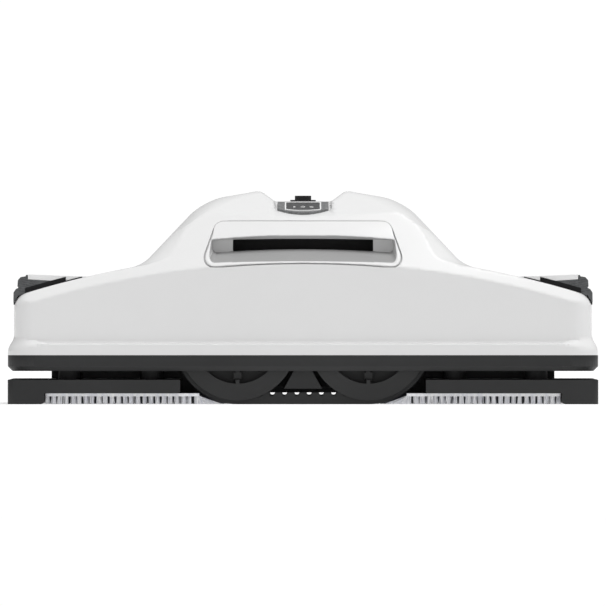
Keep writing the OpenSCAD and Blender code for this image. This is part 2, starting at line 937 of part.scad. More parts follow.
sprocket(shaft_r, -1);  // drive_sprocket_right
left() sprocket(shaft_r, -1);  // drive_sprocket_left
drive_shaft();  // drive_shaft_right
left() drive_shaft();  // drive_shaft_left
sprocket(axle_r + run_gap, 1);  // idler_sprocket_right
left() sprocket(axle_r + run_gap, 1);  // idler_sprocket_left
pad_plate();  // pad_plate_front
rear() pad_plate();  // pad_plate_rear
brush_field();  // brush_field_front
rear() brush_field();  // brush_field_rear
pad_bellows();  // pad_bellows_front
rear() pad_bellows();  // pad_bellows_rear
pad_clips();  // pad_clips_front
rear() pad_clips();  // pad_clips_rear
lid_frame();  // lid_frame_front
rear() lid_frame();  // lid_frame_rear
lid_panel();  // lid_panel_front
rear() lid_panel();  // lid_panel_rear
lid_latch();  // lid_latch_front
rear() lid_latch();  // lid_latch_rear
inlet_flap();  // inlet_flap_front
rear() inlet_flap();  // inlet_flap_rear
impeller();  // impeller_front
rear() impeller();  // impeller_rear
power_button();
cable_swivel();
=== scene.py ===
import math

import bmesh
import bpy
import numpy as np
from mathutils import Matrix, Vector


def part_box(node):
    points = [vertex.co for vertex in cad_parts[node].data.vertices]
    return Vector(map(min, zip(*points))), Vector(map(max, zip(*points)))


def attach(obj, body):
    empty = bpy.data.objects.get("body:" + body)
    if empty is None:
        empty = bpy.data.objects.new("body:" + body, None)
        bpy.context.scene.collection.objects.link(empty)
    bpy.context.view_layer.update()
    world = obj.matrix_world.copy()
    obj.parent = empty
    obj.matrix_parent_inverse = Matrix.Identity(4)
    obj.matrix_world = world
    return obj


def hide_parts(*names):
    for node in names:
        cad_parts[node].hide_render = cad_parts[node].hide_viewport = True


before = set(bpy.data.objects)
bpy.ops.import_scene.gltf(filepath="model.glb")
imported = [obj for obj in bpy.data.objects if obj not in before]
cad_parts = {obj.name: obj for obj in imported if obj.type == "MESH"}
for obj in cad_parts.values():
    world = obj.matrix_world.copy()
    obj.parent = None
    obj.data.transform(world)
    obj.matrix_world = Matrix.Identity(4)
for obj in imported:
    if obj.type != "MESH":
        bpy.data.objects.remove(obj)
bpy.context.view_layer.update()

MM = 0.001

# ---------------------------------------------------------------- sizes, in millimetres


def span(node):
    """The lowest and highest corner of a CAD node, in millimetres."""
    lo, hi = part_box(node)
    return np.array(lo) / MM, np.array(hi) / MM


# the foot's half length and half width, and the top of the skirt
HALF_L, HALF_W, SKIRT_TOP = span("skirt_band")[1]
DOME_H = span("upper_shell")[1][2]
# the upright walls stand in from the foot
WALL_X, WALL_Y = HALF_L - 4.5, HALF_W - 4.5
SHELL_T = 3.0
# the deck is an arch along the machine, with a sloping band along both side walls
ARCH_R = 704.0
ARCH_Z = 112.5 - ARCH_R
BAND = 7.6
# the channel between the humps, and the ramp that leads into it on the near side
CREST_Y, CHANNEL_Z, CHANNEL_X = 125.0, DOME_H - 8, 21.0
RAMP_FOOT = (-158.0, 140.0)
RAMP_TILT = math.atan2(CHANNEL_Z - RAMP_FOOT[1], -CREST_Y - RAMP_FOOT[0])
# the filter bays, their ledges and the end walls between them and the outside
BAY_X, BAY_Y = 127.0, 179.0
LEDGE_Z, WALL_TOP = 77.0, 75.5
LID_Y = span("lid_panel_front")[1][1]
# the axes, in x and z, of a lid's hinge and of its latch
HINGE = (131.9, 91.0)
LATCH = (209.0, 88.7)
# the button's lower and upper edge, up the ramp
BUTTON_T = (5.3, 23.7)
GRIP_Y = span("handle_grip")[1][1]
# how deep the grip's funnel and its finger slot go
FUNNEL_Y, SLOT_Y = -171.0, -176.0
BRUSH = span("brush_field_front")
# the brush is narrower where a track passes: its step, in x and y, and its rows and tufts
STEP_X, STEP_Y = 76.5, 150.0
ROW_PITCH, TUFT_PITCH = 6.0, 4.8
BELT = span("track_belt_right")
AXLE_X, AXLE_Z = BELT[1][0] - BELT[1][2] / 2, BELT[1][2] / 2

# ---------------------------------------------------------------- materials


def node(tree, kind, **sockets):
    """A shader node; its settings and its inputs' values are given by name."""
    made = tree.nodes.new("ShaderNode" + kind)
    for key, value in sockets.items():
        if key in made.bl_rna.properties:
            setattr(made, key, value)
        else:
            made.inputs[key.replace("_", " ")].default_value = value
    return made


def finish_material(name, colour, rough, vary=0.05, blotch=18.0, grain=1400.0, bump=0.01,
                    spread=0.06, metallic=0.0, coat=0.0, specular=0.5, stretch=(1, 1, 1)):
    """A moulded or metal surface: slow colour drift, uneven gloss and a fine grain."""
    made = bpy.data.materials.new(name)
    made.use_nodes = True
    tree = made.node_tree
    link = tree.links.new
    surface = tree.nodes["Principled BSDF"]
    surface.inputs["Metallic"].default_value = metallic
    surface.inputs["Specular IOR Level"].default_value = specular
    if coat:
        surface.inputs["Coat Weight"].default_value = coat
        surface.inputs["Coat Roughness"].default_value = 0.08
    place = node(tree, "TexCoord")
    scaled = node(tree, "Mapping", Scale=stretch)
    link(place.outputs["Object"], scaled.inputs["Vector"])
    drift = node(tree, "TexNoise", Scale=blotch, Detail=3.0)
    link(scaled.outputs["Vector"], drift.inputs["Vector"])
    tones = node(tree, "ValToRGB")
    tones.color_ramp.elements[0].position = 0.3
    tones.color_ramp.elements[1].position = 0.7
    tones.color_ramp.elements[0].color = [c * (1 - vary) for c in colour] + [1]
    tones.color_ramp.elements[1].color = [min(1, c * (1 + vary)) for c in colour] + [1]
    link(drift.outputs["Fac"], tones.inputs["Fac"])
    link(tones.outputs["Color"], surface.inputs["Base Color"])
    fine = node(tree, "TexNoise", Scale=grain, Detail=2.0)
    link(scaled.outputs["Vector"], fine.inputs["Vector"])
    gloss = node(tree, "MapRange", To_Min=rough - spread, To_Max=rough + spread)
    link(fine.outputs["Fac"], gloss.inputs["Value"])
    link(gloss.outputs["Result"], surface.inputs["Roughness"])
    relief = node(tree, "Bump", Strength=0.6, Distance=bump * MM)
    link(fine.outputs["Fac"], relief.inputs["Height"])
    link(relief.outputs["Normal"], surface.inputs["Normal"])
    return made


MATERIALS = {
    "white_shell": finish_material("white_shell", (0.78, 0.78, 0.78), 0.2, vary=0.006, bump=0.004,
                                   spread=0.03, specular=0.5),
    "white_trim": finish_material("white_trim", (0.84, 0.84, 0.84), 0.3, vary=0.01),
    # a darker copy of the grip grey for the funnel floor's upward faces: painted shade
    "grip_floor_painted_shade": finish_material("grip_floor_painted_shade", (0.34, 0.34, 0.34), 0.5, vary=0.03, bump=0.012),
    "grip": finish_material("grip", (0.55, 0.55, 0.55), 0.45, vary=0.02, bump=0.012),
    "panel_grey": finish_material("panel_grey", (0.18, 0.182, 0.184), 0.4, vary=0.35, blotch=420,
                                  grain=1600, bump=0.05, specular=0.4),
    "button_grey": finish_material("button_grey", (0.052, 0.0527, 0.054), 0.35, vary=0.4, blotch=520,
                                   grain=1600, bump=0.05),
    "charcoal_plastic": finish_material("charcoal_plastic", (0.026, 0.0265, 0.027), 0.5,
                                        vary=0.10, grain=2200, bump=0.03, specular=0.3),
    "black_plastic": finish_material("black_plastic", (0.010, 0.010, 0.011), 0.6, vary=0.12, bump=0.03),
    "smoked_gloss": finish_material("smoked_gloss", (0.064, 0.067, 0.070), 0.22, vary=0.22,
                                    blotch=300, spread=0.06, coat=0.4),
    "wheel_plastic": finish_material("wheel_plastic", (0.031, 0.0314, 0.0318), 0.5, vary=0.12,
                                     grain=2200, bump=0.03, specular=0.3),
    "track_rubber": finish_material("track_rubber", (0.034, 0.0345, 0.035), 0.72, vary=0.12,
                                    grain=900, bump=0.06, specular=0.3),
    # the rubber of seals and bellows, and also the black strips along the lids' edges, where it is painted
    # shadow
    "seal_rubber": finish_material("seal_rubber", (0.008, 0.008, 0.0085), 0.65, vary=0.2, bump=0.03,
                                   specular=0.25),
    "bristles": finish_material("bristles", (0.90, 0.91, 0.97), 0.45, vary=0.12, blotch=420,
                                stretch=(1, 1, 0.2)),
    # a near-black copy of the bristles for the inner tufts: painted shade between and behind the front
    # rows
    "painted_shade_bristles": finish_material("painted_shade_bristles", (0.06, 0.062, 0.075), 0.5, vary=0.15, blotch=420,
                                     stretch=(1, 1, 0.2)),
    "steel": finish_material("steel", (0.60, 0.61, 0.63), 0.28, vary=0.06, grain=900,
                             metallic=1.0, stretch=(1, 1, 8)),
    "motor_case": finish_material("motor_case", (0.45, 0.47, 0.50), 0.4, vary=0.05, metallic=0.7),
    "bronze": finish_material("bronze", (0.55, 0.38, 0.18), 0.35, metallic=1.0, stretch=(1, 12, 1)),
    "grey_plastic": finish_material("grey_plastic", (0.38, 0.39, 0.40), 0.45, bump=0.02),
    "filter_plastic": finish_material("filter_plastic", (0.10, 0.28, 0.45), 0.3, bump=0.01),
    "battery_wrap": finish_material("battery_wrap", (0.06, 0.15, 0.42), 0.25, blotch=60),
    "circuit_board": finish_material("circuit_board", (0.02, 0.16, 0.07), 0.3, vary=0.3, blotch=500),
    "impeller_plastic": finish_material("impeller_plastic", (0.70, 0.16, 0.03), 0.35),
    "foam": finish_material("foam", (0.80, 0.81, 0.76), 0.85, vary=0.05, grain=600, bump=0.25),
    "filter_mesh": finish_material("filter_mesh", (0.70, 0.74, 0.76), 0.6, vary=0.08, grain=900, bump=0.1),
}

# ---------------------------------------------------------------- meshes


def solid(name, shape):
    """An object from (points in millimetres, faces), with its faces turned outwards."""
    points, faces = shape
    mesh = bpy.data.meshes.new(name)
    mesh.from_pydata((np.asarray(points, float) * MM).tolist(), [], [list(map(int, f)) for f in faces])
    made = bpy.data.objects.new(name, mesh)
    bpy.context.scene.collection.objects.link(made)
    work = bmesh.new()
    work.from_mesh(mesh)
    bmesh.ops.recalc_face_normals(work, faces=work.faces)
    work.to_mesh(mesh)
    work.free()
    return made


def joined(*shapes):
    """Several shapes as one."""
    points, faces, start = [], [], 0
    for p, f in shapes:
        points.append(np.asarray(p, float).reshape(-1, 3))
        faces += [[i + start for i in face] for face in f]
        start += len(points[-1])
    return np.concatenate(points), faces


def rings(loops, closed=False):
    """Faces between rings of equally many points; the ends are capped unless the rings close."""
    n, count = len(loops[0]), len(loops)
    faces = []
    for i in range(count if closed else count - 1):
        a, b = i * n, ((i + 1) % count) * n
        faces += [[a + k, a + (k + 1) % n, b + (k + 1) % n, b + k] for k in range(n)]
    if not closed:
        faces += [list(range(n))[::-1], list(range((count - 1) * n, count * n))]
    return np.concatenate([np.asarray(r, float) for r in loops]), faces


def prism(outline, lo, hi, axis):
    """A flat outline drawn along an axis; its two numbers are the other axes in order."""
    outline = np.asarray(outline, float)
    return rings([np.insert(outline, axis, level, axis=1) for level in (lo, hi)])


def block(x, y, z):
    """A box between two values of x, of y and of z."""
    return prism([(x[0], y[0]), (x[1], y[0]), (x[1], y[1]), (x[0], y[1])], z[0], z[1], 2)


def turned(profile, n=48):
    """A closed outline of (radius, height) turned about the Z axis."""
    angles = np.linspace(0, 2 * math.pi, n, endpoint=False)
    return rings([[(r * math.cos(a), r * math.sin(a), z) for r, z in profile] for a in angles], True)


def drum(r, lo, hi, n=48):
    """A round bar along Z."""
    angles = np.linspace(0, 2 * math.pi, n, endpoint=False)
    circle = np.stack([r * np.cos(angles), r * np.sin(angles)], 1)
    return prism(circle, lo, hi, 2)


def moved(shape, matrix):
    m = np.array(matrix, float)
    return shape[0] @ m[:3, :3].T + m[:3, 3], shape[1]


def at(x=0.0, y=0.0, z=0.0, axis="X", angle=0.0):
    return Matrix.Translation((x, y, z)) @ Matrix.Rotation(angle, 4, axis)


RAMP = at(0, RAMP_FOOT[0], RAMP_FOOT[1], "X", RAMP_TILT)


def rod(x, z, r, lo, hi, n=32):
    """A round bar along Y, between two values of y."""
    return moved(drum(r, -hi, -lo, n), at(x, 0, z, "X", math.radians(90)))


def rounded(outline, radius, steps=5):
    """An outline with its corners rounded, by one radius or by one for each corner."""
    outline = np.asarray(outline, float)
    radius = np.broadcast_to(radius, len(outline))
    points = []
    for i, corner in enumerate(outline):
        a, b = outline[i - 1] - corner, outline[(i + 1) % len(outline)] - corner
        long_a, long_b = np.linalg.norm(a), np.linalg.norm(b)
        a, b = a / long_a, b / long_b
        half = math.acos(np.clip(a @ b, -0.9999, 0.9999)) / 2
        reach = min(radius[i] / math.tan(half), long_a * 0.48, long_b * 0.48)
        if reach < 0.05:
            points.append(corner)
            continue
        for s in np.linspace(0, 1, steps + 1):
            points.append(corner + a * reach * (1 - s) ** 2 + b * reach * s ** 2)
    return points


def mirrored(shape):
    """The same shape at the other end of the machine."""
    points = np.array(shape[0], float)
    points[:, 0] *= -1
    return points, [f[::-1] for f in shape[1]]


def bake(target):
    """Turns an object's modifiers into its mesh."""
    graph = bpy.context.evaluated_depsgraph_get()
    mesh = bpy.data.meshes.new_from_object(target.evaluated_get(graph))
    target.modifiers.clear()
    target.data = mesh


def carve(target, *cutters, operation="DIFFERENCE"):
    """Cuts each cutter out of an object, or adds it, and removes the cutters."""
    for cutter in cutters:
        cut = target.modifiers.new("cut", "BOOLEAN")
        cut.operation, cut.solver, cut.object = operation, "MANIFOLD", cutter
    bake(target)
    for cutter in cutters:
        bpy.data.objects.remove(cutter)


def dress(made, body, slot, stands_for=(), angle=32, bevel=0.0, segments=2, material=None):
    """Shading, softened edges, material and body of a piece; the slot names its material unless one is
    given.
    """
    made.data.materials.clear()
    made.data.materials.append(MATERIALS[material or slot])
    made.data.shade_smooth()
    made.data.set_sharp_from_angle(angle=math.radians(angle))
    if bevel:
        soften(made, bevel, segments)
    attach(made, body)
    if stands_for:
        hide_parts(*stands_for)
    return made


def soften(made, width, segments=2):
    """Rounds the sharp edges of a piece."""
    edge = made.modifiers.new("edges", "BEVEL")
    edge.width, edge.segments = width * MM, segments
    edge.limit_method, edge.angle_limit = "ANGLE", math.radians(34)
    edge.harden_normals = True


# ---------------------------------------------------------------- round-edged forms


def union(a, b, r):
    """Two forms together, with a fillet where they meet."""
    u, v = np.maximum(r - a, 0), np.maximum(r - b, 0)
    return np.maximum(r, np.minimum(a, b)) - np.hypot(u, v)


def common(a, b, r):
    """What two forms share, with a round along the edge."""
    return -union(-a, -b, r)


def round_slab(x, y, half_x, half_y, r):
    """Distance from a rectangle with round corners."""
    u, v = np.abs(x) - half_x + r, np.abs(y) - half_y + r
    return np.hypot(np.maximum(u, 0), np.maximum(v, 0)) + np.minimum(np.maximum(u, v), 0) - r


def smooth_step(value, lo, hi):
    t = np.clip((value - lo) / (hi - lo), 0, 1)
    return t * t * (3 - 2 * t)


def shell_form(x, y, z, inset=0.0):
    """Signed distance, in millimetres, from the outside of the shell, or from its inside face."""
    ax, ay = np.abs(x), np.abs(y)
    arch = np.hypot(x, z - ARCH_Z) - ARCH_R + inset
    walls = round_slab(x, y, WALL_X - inset, WALL_Y - inset, 15 - inset)
    side = 0.7295 * ax + 0.684 * z - 156.85 + inset
    crest = 0.985 * (z - DOME_H) + 0.1714 * (ax - 31.5) + inset
    top = common(side, crest, 9)
    flank = common(0.810 * ay + 0.586 * z - 214.97, 0.464 * ay + 0.886 * z - 198.0, 1.4) + inset
    dome = common(top, flank, 2.5 + 16 * smooth_step(ax, 40, 100))
    body = common(walls, union(arch, dome, 5), 9 - inset)
    # the sloping band between each side wall and the deck
    band = (ay - WALL_Y + arch + inset + BAND) * 0.7071
    body = common(body, band + inset, 0.5)
    # the channel between the humps, and the ramp at its near end
    ramp = -math.sin(RAMP_TILT) * (y - RAMP_FOOT[0]) + math.cos(RAMP_TILT) * (z - RAMP_FOOT[1])
    floor = np.minimum(CHANNEL_Z - inset - z, -ramp - inset)
    out = ax - CHANNEL_X
    sides = np.minimum(out, (8 * out - 10.5 * (z - CHANNEL_Z)) / 13.2) - inset
    body = common(body, -common(floor, sides, 1.2), 2.2)
    if inset:
        return body
    # the foot: sloping at the ends, and a lip with a groove above it along the sides
    foot = round_slab(x, y, HALF_L, HALF_W, 20)
    slope = np.maximum(0.857 * foot + 0.514 * (z - 41), z - 48.5)
    along = 1 - smooth_step(ax, 186, 212)
    flare = common(foot, slope + along * (z - 45.4 - slope), 1.2)
    body = common(body, along * 0.65 - np.hypot(walls, z - 46.5), 0.2)
    return union(body, flare, 0.3)


def inside_form(x, y, z):
    return shell_form(x, y, z, SHELL_T)


def slopes(form, p, step=0.05):
    """The form's gradient at each point."""
    out = np.empty_like(p)
    for axis in range(3):
        d = np.zeros(3)
        d[axis] = step
        out[:, axis] = (form(*(p + d).T) - form(*(p - d).T)) / (2 * step)
    return out


def settle(form, p, rounds=4):
    """Moves points along the form's slope on to its surface."""
    for _ in range(rounds):
        g = slopes(form, p)
        p = p - (form(*p.T) / np.maximum((g * g).sum(1), 0.05))[:, None] * g
    return p


def surface_net(form, lo, hi, step):
    """The closed surface of a form as four-sided faces, from a grid of cells."""
    axes = [np.arange(a, b + step, step) for a, b in zip(lo, hi)]
    f = form(*np.meshgrid(*axes, indexing="ij"))
    inside = f < 0
    cells = tuple(n - 1 for n in f.shape)
    total, count = np.zeros(cells + (3,)), np.zeros(cells)
    for axis in range(3):
        u, v = [k for k in range(3) if k != axis]
        a = np.take(f, range(cells[axis]), axis)
        b = np.take(f, range(1, cells[axis] + 1), axis)
        crossing = (a < 0) != (b < 0)
        t = np.where(crossing, a / np.where(crossing, a - b, 1), 0)
        for du in (0, 1):
            for dv in (0, 1):
                pick = [slice(None)] * 3
                pick[u], pick[v] = slice(du, du + cells[u]), slice(dv, dv + cells[v])
                hit = crossing[tuple(pick)]
                total[..., axis] += np.where(hit, t[tuple(pick)], 0)
                total[..., u] += hit * du
                total[..., v] += hit * dv
                count += hit
    used = count > 0
    number = np.full(cells, -1)
    number[used] = np.arange(used.sum())
    points = (np.argwhere(used) + total[used] / count[used][:, None]) * step + np.array(lo)
    quads = []
    for axis in range(3):
        u, v = [(1, 2), (2, 0), (0, 1)][axis]
        low = [slice(None)] * 3
        low[axis] = slice(0, cells[axis])
        high = list(low)
        high[axis] = slice(1, cells[axis] + 1)
        flips = inside[tuple(low)] != inside[tuple(high)]
        where = np.argwhere(flips)
        where = where[(where[:, u] > 0) & (where[:, v] > 0)
                      & (where[:, u] < cells[u]) & (where[:, v] < cells[v])]
        corner = []
        for du, dv in ((1, 1), (0, 1), (0, 0), (1, 0)):
            c = where.copy()
            c[:, u] -= du
            c[:, v] -= dv
            corner.append(number[tuple(c.T)])
        quad = np.stack(corner, 1)
        turn = ~inside[tuple(where.T)]
        quad[turn] = quad[turn][:, ::-1]
        quads.append(quad)
    return points, np.concatenate(quads)


def cast(name, form, lo, hi, step):
    """An object with the surface of a form, from a grid of this step."""
    points, quads = surface_net(form, lo, hi, step)
    points = settle(form, points)
    made = solid(name, (points, []))
    mesh = made.data
    mesh.clear_geometry()
    mesh.from_pydata((points * MM).tolist(), [], quads.tolist())
    mesh.update()
    return made


def exact_normals(made, form, tolerance=0.03):
    """Takes shading from the form itself wherever a face lies on it, and flat shading elsewhere."""
    mesh = made.data
    points = np.empty(len(mesh.vertices) * 3)
    mesh.vertices.foreach_get("co", points)
    points = points.reshape(-1, 3) / MM
    slope = slopes(form, points)
    slope /= np.maximum(np.linalg.norm(slope, axis=1), 1e-9)[:, None]
    value = form(*points.T)
    on_skin = np.abs(value) < tolerance
    corner = np.empty(len(mesh.loops), int)
    mesh.loops.foreach_get("vertex_index", corner)
    size = np.empty(len(mesh.polygons), int)
    mesh.polygons.foreach_get("loop_total", size)
    flat = np.empty(len(mesh.polygons) * 3)
    mesh.polygons.foreach_get("normal", flat)
    flat = np.repeat(flat.reshape(-1, 3), size, axis=0)
    use = on_skin[corner] & ((slope[corner] * flat).sum(1) > 0.8)
    mesh.shade_smooth()
    mesh.normals_split_custom_set(np.where(use[:, None], slope[corner], flat).tolist())


# ---------------------------------------------------------------- the handle's outline


def handle_outline(x, z):
    """Distance from the outline of the handle piece, seen square on."""
    ax = np.abs(x)
    side = (ax - 73.3 + 0.358 * (z - 110)) / 1.062
    foot = (103.4 - 2.9 * (ax / 65) ** 2) - z
    return common(common(side, foot, 12), z - 135.6, 5)


def handle_points(inset, n=180):
    """Points round the handle's outline, this far inside it."""
    points = []
    for a in np.linspace(0, 2 * math.pi, n, endpoint=False):
        lo, hi = 0.0, 90.0
        for _ in range(40):
            r = (lo + hi) / 2
            if handle_outline(r * math.cos(a), 118 + r * math.sin(a)) < -inset:
                lo = r
            else:
                hi = r
        points.append((lo * math.cos(a), 118 + lo * math.sin(a)))
    return points


# ---------------------------------------------------------------- upper shell


def build_shell():
    lo, hi = [-HALF_L - 4, -HALF_W - 4, 28], [HALF_L + 4, HALF_W + 4, DOME_H + 4]
    shell = cast("shell_outside", lambda x, y, z: np.maximum(shell_form(x, y, z), 32.3 - z), lo, hi, 3.0)
    cavity = cast("shell_inside", lambda x, y, z: np.maximum(inside_form(x, y, z), 27 - z),
                  lo[:2] + [20], hi, 5.0)
    # what stays solid inside: the bays' surrounds, screw bosses, and the seats of socket and panel
    solids = []
    for s in (1, -1):
        solids.append(solid("bay", block(sorted((s * 124, s * 215)), (-182, 182), (62, 130))))
        for t in (1, -1):
            for x in (125, 204):
                solids.append(solid("boss", moved(drum(5, 30, 69, 24), at(s * x, t * (WALL_Y - 7.5)))))
    solids.append(solid("socket_seat", block((-14, 14), (-14, 14), (CHANNEL_Z - 6, 170))))
    solids.append(solid("panel_seat", moved(block((-24, 24), (-2, 40), (-6.5, 12)), RAMP)))
    carve(cavity, *solids)

    cutters = [cavity, solid("below", block((-250, 250), (-230, 230), (0, SKIRT_TOP)))]
    for s in (1, -1):
        bay_x = sorted((s * BAY_X, s * (WALL_X - SHELL_T)))
        mouth_x = sorted((s * (WALL_X - 4), s * 230))
        well_x = sorted((s * (BAY_X + 3.5), s * (WALL_X - 8.5)))
        outlet = at(s * 50, 0, DOME_H - 5.2, "Y", s * math.radians(12))
        cutters += [
            solid("bay", block(bay_x, (-BAY_Y, BAY_Y), (LEDGE_Z, 130))),
            solid("mouth", block(mouth_x, (-BAY_Y, BAY_Y), (WALL_TOP, 130))),
            solid("well", block(well_x, (-172, 172), (50, 78))),
            solid("outlet", moved(drum(18.2, -12, 28, 64), outlet)),
        ]
    button_t = (BUTTON_T[0] - 0.6, BUTTON_T[1] + 0.6)
    cutters += [
        solid("socket", moved(drum(8.6, CHANNEL_Z - 7, CHANNEL_Z + 13), at())),
        solid("handle", prism(handle_points(0), -HALF_W - 6, GRIP_Y, 1)),
        solid("button", moved(block((-12.7, 12.7), button_t, (-9, 1)), RAMP)),
    ]
    carve(shell, *cutters)
    exact_normals(shell, shell_form)
    shell.name = "shell_moulding"
    shell.data.materials.clear()
    shell.data.materials.append(MATERIALS["white_shell"])
    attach(shell, "chassis")
    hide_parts("upper_shell")


def grip_parts(x, y, z):
    """The grip: flush with the flank, its rim a little proud, and the funnel to the slot."""
    ax = np.abs(x)
    bow = np.clip(1 - (ax / 67) ** 2, 0, 1)
    outside = handle_outline(x, z)
    surface = shell_form(x, y, z)
    seam = 0.05 + 0.85 * (1 - smooth_step(z, 124, 131)) * smooth_step(surface, -2.6, -1.4)
    skin = common(surface - 0.35 * (1 - smooth_step(z, 124, 132)), outside + seam, 1.0)
    deep = FUNNEL_Y - y
    floor = 111.5 + 3 * bow
    floor -= (floor - (105.4 + 2.1 * bow)) * deep / 18
    roof = 121.2 + 0.9 * bow
    roof += (121.6 + 4.1 * bow - roof) * deep / 5.5
    side = ax - 67 - 0.14 * deep
    basin = common(common(0.95 * (floor - z), side, 4.5), 0.8 * (z - roof), 1.2)
    basin = common(basin, y - FUNNEL_Y, 0.3)
    slot = np.maximum(np.maximum(ax - 51.8, 111.9 + 2.5 * bow - z), z - 121.2 - 0.9 * bow)
    slot = np.maximum(slot, SLOT_Y - y)
    return skin, np.minimum(basin, slot)


def grip_form(x, y, z):
    skin, hollow = grip_parts(x, y, z)
    return np.maximum(common(skin, -hollow, 0.7), y - GRIP_Y)


def build_grip():
    grip = cast("grip_moulding", grip_form, [-76, -200, 98], [76, GRIP_Y + 2, 138], 0.8)
    # the skin, the funnel's lining, and a darker grey on the lining's upward faces as painted shade
    for name in ("white_shell", "grip", "grip_floor_painted_shade"):
        grip.data.materials.append(MATERIALS[name])
    centres = np.array([face.center for face in grip.data.polygons]) / MM
    skin, hollow = grip_parts(*centres.T)
    lining = (hollow > -0.35) & (hollow < 0.5) & (skin < -0.9)
    upward = np.array([face.normal.z for face in grip.data.polygons]) > 0.5
    # faces of the lining that look upwards take the darker grey: painted shade on the funnel's floor
    grip.data.polygons.foreach_set("material_index", lining.astype(int) + (lining & upward))
    exact_normals(grip, grip_form)
    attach(grip, "chassis")
    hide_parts("handle_grip")


build_shell()
build_grip()

# ---------------------------------------------------------------- lids


def deck_line(lift, start, stop, n=14):
    """Points along the deck's edge, this far above it."""
    return [(x, math.sqrt(ARCH_R ** 2 - x * x) + ARCH_Z + lift) for x in np.linspace(start, stop, n)]


def build_lid(end):
    """A lid's frame, panel, black strips of painted shadow along its edges, and latch, drawn for the front
    and mirrored for the rear.
    """
    def form(name, shape):
        return solid(name + "_" + end, shape if end == "front" else mirrored(shape))

    lid = end + "_lid"
    barrel = [(HINGE[0] + 4.4 * math.cos(a), HINGE[1] + 4.4 * math.sin(a))
              for a in np.radians(np.linspace(-43, -360, 26))]
    lip = [(211.0, 87.0), (210.2, 86.0), (212.2, 85.0), (213.9, 82.5), (214.0, 76.0), (213.75, 73.3),
           (213.62, 75.4), (212.9, 76.2), (211.2, 79.0)]
    lip_radius = [1.2, 0.3, 0.8, 2.0, 2.0, 0, 0.5, 0.5, 0.5]
    bar = [(183, 90.9), (203.8, 92.15), (203.8, 95.6), (204.7, 95.4), (205.0, 94.4), (208.6, 93.9),
           (210.7, 91.6)]
    inside = [(210.5, 80.4), (199.8, 80.4), (199.8, 88), (139, 88), (139, 80.4), (136, 80.4), (136, 88)]
    section = barrel + rounded(bar + lip + inside, [0, 0, 0.3, 0.4, 0.4, 1.8, 2.0] + lip_radius + [0] * 7)
    frame_piece = form("lid_frame_moulding", prism(section, -LID_Y, LID_Y, 1))
    skirts_y = [sorted((s * (LID_Y - 6), s * (LID_Y - 0.05))) for s in (1, -1)]
    extra = [form("skirt", block((136.2, 203.6), y, (80.5, 89))) for y in skirts_y]
    extra += [form("rib", block((138, 201), (y - 1, y + 1), (83.5, 89))) for y in range(-120, 121, 60)]
    carve(frame_piece, *extra, operation="UNION")
    cuts = [form("bore", rod(*HINGE, 2.06, *sorted((s * 168, s * 190)), 24)) for s in (1, -1)]
    cuts.append(form("gap", block((206, 220), (-30.5, 30.5), (60, 94))))
    # short ridges on the ends of the bar
    for s in (1, -1):
        for k in range(7):
            place = at(205.2, s * (LID_Y + 0.08), 83.0 + 1.75 * k, "Y", math.radians(78))
            cuts.append(form("ridge", moved(drum(0.32, -9, 9, 8), place)))
    carve(frame_piece, *cuts)
    carve(frame_piece, form("pin", rod(*LATCH, 1.25, -30.9, 30.9, 24)), operation="UNION")
    dress(frame_piece, lid, "smoked_gloss", ["lid_frame_" + end], bevel=0.5, segments=3)

    outline = [(137.5, 90.95), (137.5, 93.5), (175, 94.8), (203.3, 95.9), (203.3, 92.25), (183, 90.98)]
    panel = form("lid_panel_moulding", prism(outline, -LID_Y, LID_Y, 1))
    tilt = at(137.5, 0, 93.5, "Y", -math.atan2(2.4, 65.8))
    grooves = [block((7, 59), sorted((s * 168, s * 169)), (-0.5, 3)) for s in (1, -1)]
    grooves += [block((x, x + 1), (-169, 169), (-0.5, 3)) for x in (6.5, 58.5)]
    grooves += [block((32.4, 33.4), (-167, 167), (-0.5, 3))]
    carve(panel, *[form("groove", moved(groove, tilt)) for groove in grooves])
    dress(panel, lid, "white_trim", ["lid_panel_" + end], bevel=0.35)

    # a black strip along the deck's edge at both sides: painted shadow in the gap between the lid and the
    # deck
    edge = deck_line(3.75, 175.2, 205.4) + deck_line(-1.5, 205.4, 163.2) + deck_line(0.9, 163.2, 175.2, 6)
    strips = [prism(edge, *sorted((s * (LID_Y - 0.6), s * (LID_Y + 0.25))), 1) for s in (1, -1)]
    dress(form("lid_edge_shadow_strip", joined(*strips)), lid, "seal_rubber")

    tab = [(207.3, 86.9), (207.3, 90.4), (208.4, 91.8), (210.5, 91.4)] + lip + [(210.5, 83.4)]
    latch = form("lid_latch_tab", prism(rounded(tab, [0.4, 1.2, 0.6, 1.2] + lip_radius + [1]), -30, 30, 1))
    cuts = [form("bore", rod(*LATCH, 1.35, -40, 40, 24))]
    cuts += [form("ridge", rod(214.3, z, 0.55, -24, 24, 16)) for z in (77.2, 78.8, 80.4, 82.0)]
    carve(latch, *cuts)
    dress(latch, end + "_latch", "smoked_gloss", ["lid_latch_" + end], bevel=0.2)


for end in ("front", "rear"):
    build_lid(end)

# ---------------------------------------------------------------- scrubbing brushes


RNG = np.random.default_rng(11)


def filaments(roots, tips, thick):
    """Tapered three-sided bristles, from each root to its tip."""
    n = len(roots)
    turn = RNG.uniform(0, 2 * math.pi, n)
    points = np.empty((n, 6, 3))
    for k in range(3):
        a = turn + k * 2 * math.pi / 3
        round_about = np.stack([np.cos(a), np.sin(a), np.zeros(n)], 1)
        points[:, k] = roots + round_about * thick
        points[:, k + 3] = tips + round_about * thick * 0.5
    pattern = ([0, 1, 4, 3], [1, 2, 5, 4], [2, 0, 3, 5], [2, 1, 0], [3, 4, 5])
    faces = [[i * 6 + k for k in face] for i in range(n) for face in pattern]
    return points.reshape(-1, 3), faces


